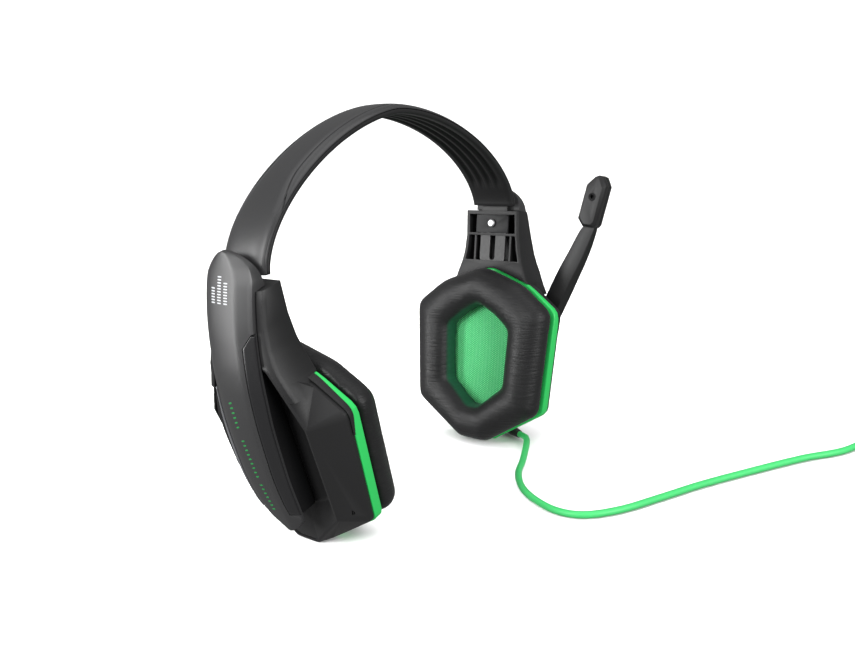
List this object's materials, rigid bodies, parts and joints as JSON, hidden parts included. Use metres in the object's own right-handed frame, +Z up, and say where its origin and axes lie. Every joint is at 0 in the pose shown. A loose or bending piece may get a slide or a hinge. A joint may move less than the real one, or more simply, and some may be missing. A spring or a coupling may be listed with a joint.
{
  "type": "gaming headset",
  "caption": "Wired over-ear headset with faceted cups on sliding arms, an arched ribbed headband, ring ear cushions, a folding boom microphone and a coiled cord with a jack plug.",
  "frame": {"origin": "on the surface that the cups stand on, under the middle of the headset's bounds without its cord; the wearer's middle plane is 6.4 mm to -X of it", "axes": "+Z up through the top of the headband, +X toward the left cup with the microphone, -Y the way the wearer faces"},
  "size_m": [0.3109, 0.3115, 0.183],
  "materials": {
    "satin_grey_plastic": "satin",
    "black_plastic": "satin",
    "dark_panel": "semi-gloss",
    "silver_plastic": "satin silver paint",
    "green_plastic": "gloss",
    "inner_plastic": "matte",
    "leatherette": "fine grain",
    "green_cloth": "woven",
    "steel": "brushed",
    "spring_steel": "rolled",
    "film": "clear film",
    "black_rubber": "matte",
    "green_cord": "satin",
    "gilt": "polished"
  },
  "bodies": {
    "band": {"band_outer_shell": "satin_grey_plastic", "band_inner_cover": "black_plastic", "band_spring": "spring_steel", "right_tongue": "spring_steel", "left_tongue": "spring_steel"},
    "right_arm": {"right_cup_housing": "black_plastic", "right_blade": "satin_grey_plastic", "right_side_panel": "dark_panel", "right_silver_strip": "silver_plastic", "right_blade_carrier": "black_plastic", "right_carrier_screw": "steel", "right_trim_ring": "green_plastic", "right_baffle": "inner_plastic", "right_baffle_screw_0": "steel", "right_baffle_screw_1": "steel", "right_baffle_screw_2": "steel", "right_driver_frame": "inner_plastic", "right_driver_magnet": "steel", "right_driver_membrane": "film", "right_cushion_plate": "inner_plastic", "right_cloth_screen": "green_cloth", "right_ear_cushion": "leatherette", "right_guide_plate": "inner_plastic", "right_guide_screw": "steel"},
    "left_arm": {"left_cup_housing": "black_plastic", "left_blade": "satin_grey_plastic", "left_side_panel": "dark_panel", "left_silver_strip": "silver_plastic", "left_blade_carrier": "black_plastic", "left_carrier_screw": "steel", "left_trim_ring": "green_plastic", "left_baffle": "inner_plastic", "left_baffle_screw_0": "steel", "left_baffle_screw_1": "steel", "left_baffle_screw_2": "steel", "left_driver_frame": "inner_plastic", "left_driver_magnet": "steel", "left_driver_membrane": "film", "left_cushion_plate": "inner_plastic", "left_cloth_screen": "green_cloth", "left_ear_cushion": "leatherette", "left_guide_plate": "inner_plastic", "left_guide_screw": "steel", "mic_pivot_screw": "steel", "mic_pivot_nut": "steel", "cord_relief": "black_rubber", "cord": "green_cord", "cord_coil": "green_cord", "cord_tie": "black_rubber", "cord_tail": "green_cord", "plug_body": "black_rubber", "jack_pin": "gilt"},
    "microphone": {"mic_hub": "black_plastic", "mic_boom": "black_plastic", "mic_head_inner": "black_plastic", "mic_head_outer": "black_plastic", "mic_capsule": "steel"}
  },
  "joints": [
    {"name": "right_arm_slide", "type": "slide", "parent": "band", "child": "right_arm", "axis": [0.213, 0, -0.977], "range_m": [0, 0.018]},
    {"name": "left_arm_slide", "type": "slide", "parent": "band", "child": "left_arm", "axis": [-0.213, 0, -0.977], "range_m": [0, 0.018]},
    {"name": "microphone_hinge", "type": "hinge", "parent": "left_arm", "child": "microphone", "pos_m": [0.08028, -0.01135, 0.04168], "axis": [0.977, 0, -0.213], "range_deg": [0, 88]}
  ]
}
